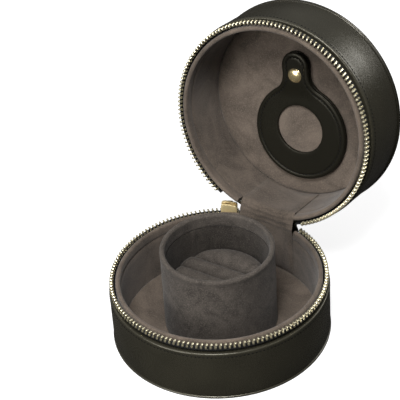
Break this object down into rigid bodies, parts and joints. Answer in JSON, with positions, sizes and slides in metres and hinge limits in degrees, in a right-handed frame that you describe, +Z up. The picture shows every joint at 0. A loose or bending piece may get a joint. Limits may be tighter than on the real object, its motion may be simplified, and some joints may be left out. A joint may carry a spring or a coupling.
{
  "type": "watch travel case",
  "caption": "Round zipped leather travel case for a wristwatch, lid open, with a strap cuff, ring rolls and a snapped tag holder.",
  "frame": {"origin": "centre of the underside's flat face, on the surface the case stands on", "axes": "+Z up, +Y towards the hinge, +X to the right when facing the hinge"},
  "size_m": [0.111, 0.155, 0.1425],
  "materials": {
    "leather_black": "smooth near-black leather, semi-gloss",
    "suede_taupe": "dark taupe-grey suede",
    "suede_grey": "dark grey suede",
    "zipper_tape": "black woven tape",
    "pale_brass": "pale polished brass",
    "board": "plain greyboard, hidden between the covers",
    "foam": "plain padding foam, hidden between the covers"
  },
  "bodies": {
    "base": {"base_bottom_cover": "leather_black", "base_bottom_board": "board", "base_wall_board": "board", "base_wall_leather": "leather_black", "base_wall_lining": "suede_taupe", "base_floor_foam": "foam", "base_floor_lining": "suede_taupe", "lower_zipper_tape": "zipper_tape", "lower_zipper_teeth": "pale_brass", "cuff_core": "board", "cuff_outer_sleeve": "suede_grey", "cuff_inner_sleeve": "suede_grey", "cuff_disc": "suede_grey", "ring_roll_1": "suede_grey", "ring_roll_2": "suede_grey", "ring_roll_3": "suede_grey", "ring_roll_4": "suede_grey", "hinge_leather": "leather_black", "hinge_lining": "suede_taupe"},
    "lid": {"lid_wall_leather": "leather_black", "lid_wall_board": "board", "lid_wall_lining": "suede_taupe", "lid_ceiling_lining": "suede_taupe", "lid_ceiling_foam": "foam", "lid_top_board": "board", "lid_top_foam": "foam", "lid_top_leather": "leather_black", "lid_welt": "leather_black", "upper_zipper_tape": "zipper_tape", "upper_zipper_teeth": "pale_brass", "holder_back": "leather_black", "holder_front": "leather_black", "snap_stud": "pale_brass"},
    "tab": {"holder_tab": "leather_black", "snap_cap": "pale_brass", "snap_socket": "pale_brass"},
    "slider": {"slider_body": "pale_brass", "slider_bridge": "pale_brass"},
    "pull": {"pull_eye": "pale_brass", "pull_tab": "leather_black"}
  },
  "joints": [
    {"name": "lid_hinge", "type": "hinge", "parent": "base", "child": "lid", "pos_m": [0, 0.05012, 0.03867], "axis": [-1, 0, 0], "range_deg": [-99.45, 5.5], "deforming": ["hinge_leather", "hinge_lining"]},
    {"name": "slider_travel", "type": "hinge", "parent": "base", "child": "slider", "pos_m": [0, 0, 0.0338], "axis": [0, 0, 1], "range_deg": [0, 306.2]},
    {"name": "pull_swing", "type": "hinge", "parent": "slider", "child": "pull", "pos_m": [-0.02492, 0.05224, 0.0338], "axis": [0.9026, 0.4305, 0], "range_deg": [0, 80]},
    {"name": "tab_flap", "type": "hinge", "parent": "lid", "child": "tab", "pos_m": [-0.00065, 0.08309, 0.09528], "axis": [0.9898, 0.0234, 0.1407], "range_deg": [0, 55]}
  ]
}
